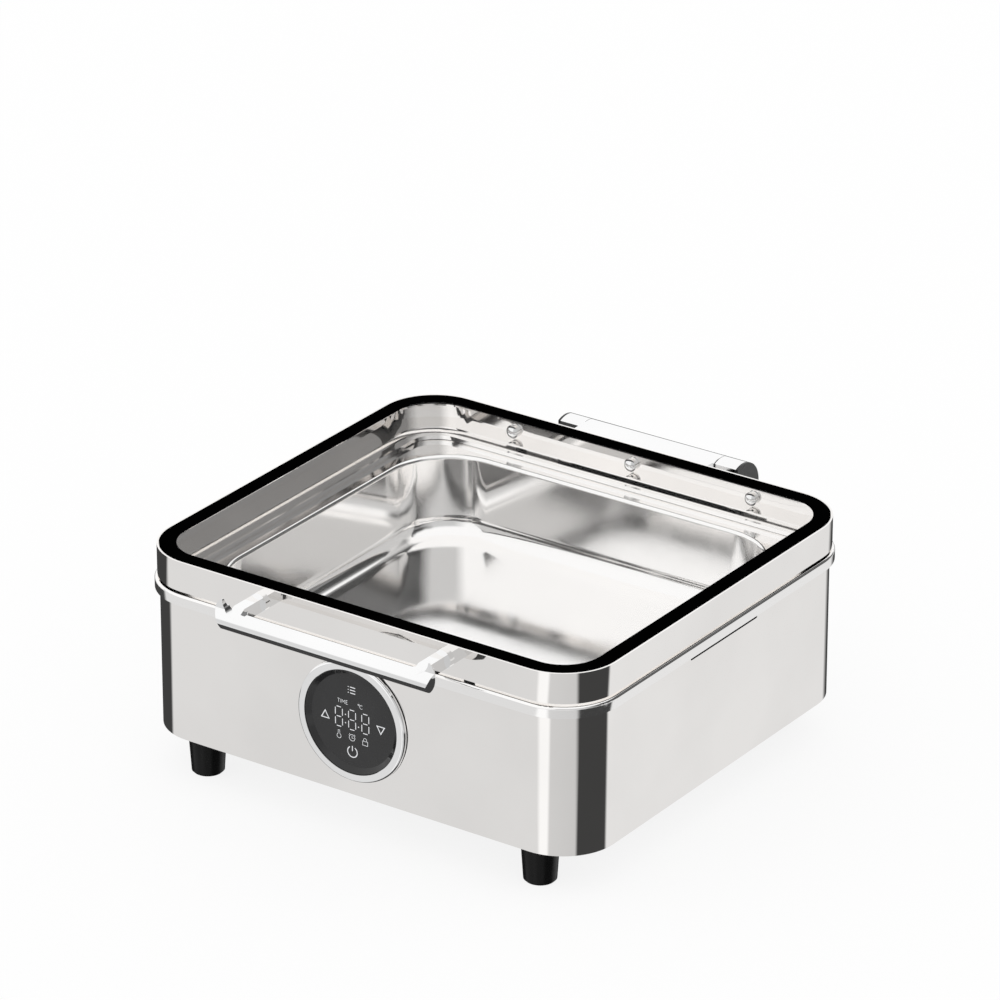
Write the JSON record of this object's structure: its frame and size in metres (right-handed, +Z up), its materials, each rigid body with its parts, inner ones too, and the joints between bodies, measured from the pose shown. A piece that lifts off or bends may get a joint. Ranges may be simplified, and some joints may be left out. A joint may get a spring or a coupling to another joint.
{
  "type": "electric chafing dish",
  "caption": "Polished square chafing dish with a hinged glass lid, lift-out food pan over a heated water pan, and a round touch display",
  "frame": {"origin": "centre of the overall outline in X and Y, on the plane that the feet stand on", "axes": "+Z up, -Y towards the handle and the display, +X to the right seen from the front"},
  "size_m": [0.4062, 0.4546, 0.1795],
  "materials": {
    "polished_steel": "mirror polished stainless sheet",
    "plain_steel": "plain sheet and plated fasteners",
    "black_rubber": "soft black rubber",
    "clear_glass": "clear toughened glass",
    "black_panel": "glossy black touch panel",
    "cast_aluminium": "cast plate",
    "element_sheath": "heat-tinted sheath",
    "ceramic": "white ceramic",
    "brass": "plain brass",
    "black_plastic": "moulded black plastic",
    "mineral_wool": "pressed mineral wool",
    "circuit_board": "green board",
    "relay_case": "blue moulding",
    "block_case": "green moulding",
    "coil_tape": "yellow tape",
    "mains_sheath": "brown sheath",
    "sleeve": "woven heat sleeve",
    "cable_sheath": "pale sheath",
    "digit_block": "pale moulding"
  },
  "bodies": {
    "base": {"outer_housing": "polished_steel", "water_pan": "polished_steel", "hinge_bracket": "polished_steel", "control_bezel": "polished_steel", "base_plate": "plain_steel", "foot_screws": "plain_steel", "foot_nuts": "plain_steel", "base_screws": "plain_steel", "heater_clamps": "plain_steel", "hinge_pin": "plain_steel", "bracket_screws": "plain_steel", "bracket_nuts": "plain_steel", "inlet_screws": "plain_steel", "temperature_sensor": "plain_steel", "heat_shield": "plain_steel", "board_bracket": "plain_steel", "foot_front_left": "black_rubber", "foot_front_right": "black_rubber", "foot_rear_left": "black_rubber", "foot_rear_right": "black_rubber", "panel_gasket": "black_rubber", "control_glass": "black_panel", "heater_plate": "cast_aluminium", "heating_element": "element_sheath", "element_terminals": "ceramic", "heater_studs": "brass", "board_standoffs": "brass", "inlet_pins": "brass", "earth_stud": "brass", "power_inlet": "black_plastic", "thermal_cutout": "black_plastic", "panel_retainer": "black_plastic", "board_clip_ring": "black_plastic", "buzzer": "black_plastic", "hinge_end_caps": "black_plastic", "insulation_pad": "mineral_wool", "power_board": "circuit_board", "display_board": "circuit_board", "relay": "relay_case", "terminal_block": "block_case", "transformer": "coil_tape", "mains_leads": "mains_sheath", "heater_leads": "sleeve", "display_cable": "cable_sheath", "display_module": "digit_block"},
    "lid": {"lid_frame": "polished_steel", "lid_glass": "clear_glass", "glass_gasket": "black_rubber", "lid_handle": "polished_steel", "handle_screws": "plain_steel", "lid_bumpers": "black_rubber", "hinge_leaf": "polished_steel", "hinge_dampers": "black_plastic", "hinge_bolts": "polished_steel", "hinge_washers": "polished_steel", "leaf_nuts": "plain_steel"},
    "pan": {"food_pan": "polished_steel"}
  },
  "joints": [
    {"name": "lid_hinge", "type": "hinge", "parent": "base", "child": "lid", "pos_m": [0, 0.2063, 0.1533], "axis": [-1, 0, 0], "range_deg": [0, 85]},
    {"name": "food_pan_lift", "type": "slide", "parent": "base", "child": "pan", "axis": [0, 0, 1], "range_m": [0, 0.02]}
  ]
}
